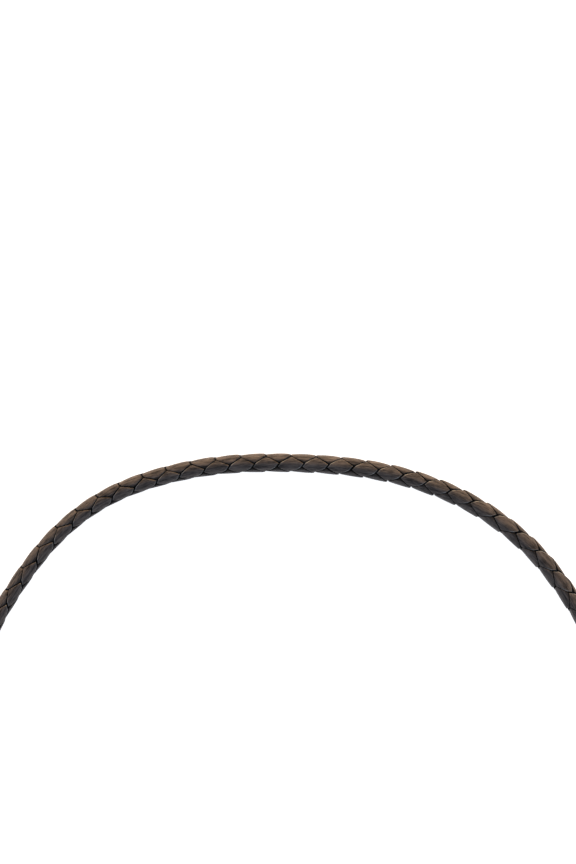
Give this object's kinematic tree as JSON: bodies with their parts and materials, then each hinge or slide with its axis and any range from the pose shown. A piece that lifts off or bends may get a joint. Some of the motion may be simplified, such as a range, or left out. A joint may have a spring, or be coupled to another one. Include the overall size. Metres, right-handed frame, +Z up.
{
  "type": "bolo necklace",
  "caption": "Braided leather bolo necklace laid flat: one round cord in a neck loop, a plain slide that gathers it, and tapered metal tips on the free ends.",
  "frame": {"origin": "middle of the whole outline, on the surface that the necklace lies on", "axes": "+Y towards the back of the neck loop, the tips at -Y; +Z up off the surface; +X to the right seen from above"},
  "size_m": [0.157, 0.3979, 0.0084],
  "materials": {
    "braided_leather": "dark brown, waxed, satin",
    "slide_metal": "satin, softly brushed",
    "tip_metal": "satin, softly brushed"
  },
  "bodies": {
    "root": {"braided_cord": "braided_leather", "slide": "slide_metal", "tip_left": "tip_metal", "tip_right": "tip_metal"}
  },
  "joints": []
}
